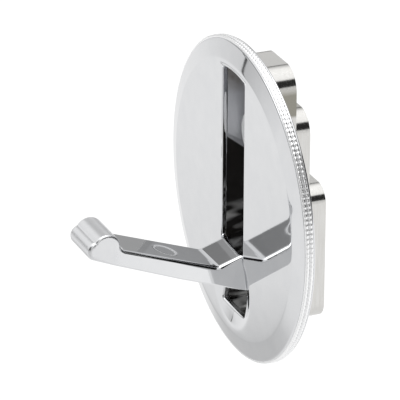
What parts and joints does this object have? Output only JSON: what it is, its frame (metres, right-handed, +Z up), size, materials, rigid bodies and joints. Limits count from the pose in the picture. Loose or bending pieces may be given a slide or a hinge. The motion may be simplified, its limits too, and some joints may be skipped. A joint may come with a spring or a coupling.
{
  "type": "retractable coat hook",
  "caption": "Flush round chromed hook plate with a mortised housing; pressing the arm's tail swings the hook out, pushing it up folds it away.",
  "frame": {"origin": "centre of the cover plate on the surface of the panel that it is fixed to", "axes": "+Z up; the front faces -Y and the housing reaches into the panel along +Y; +X is to the right seen from the front"},
  "size_m": [0.07, 0.0524, 0.07],
  "materials": {
    "plate_chrome": "polished",
    "housing_chrome": "polished",
    "arm_chrome": "polished",
    "bright_steel": "bright",
    "spring_steel": "satin",
    "nylon": "matt",
    "silicone": "matt"
  },
  "bodies": {
    "base": {"rosette": "plate_chrome", "snap_ring": "bright_steel", "housing": "housing_chrome", "pivot_pin": "bright_steel", "spacer_left": "nylon", "spacer_right": "nylon", "leaf_spring": "spring_steel", "spring_screw": "bright_steel", "closing_bumper": "silicone"},
    "arm": {"hook_arm": "arm_chrome"}
  },
  "joints": [
    {"name": "hook_swing", "type": "hinge", "parent": "base", "child": "arm", "pos_m": [0, 0.0022, -0.0146], "axis": [-1, 0, 0], "range_deg": [0, 70.3]}
  ]
}
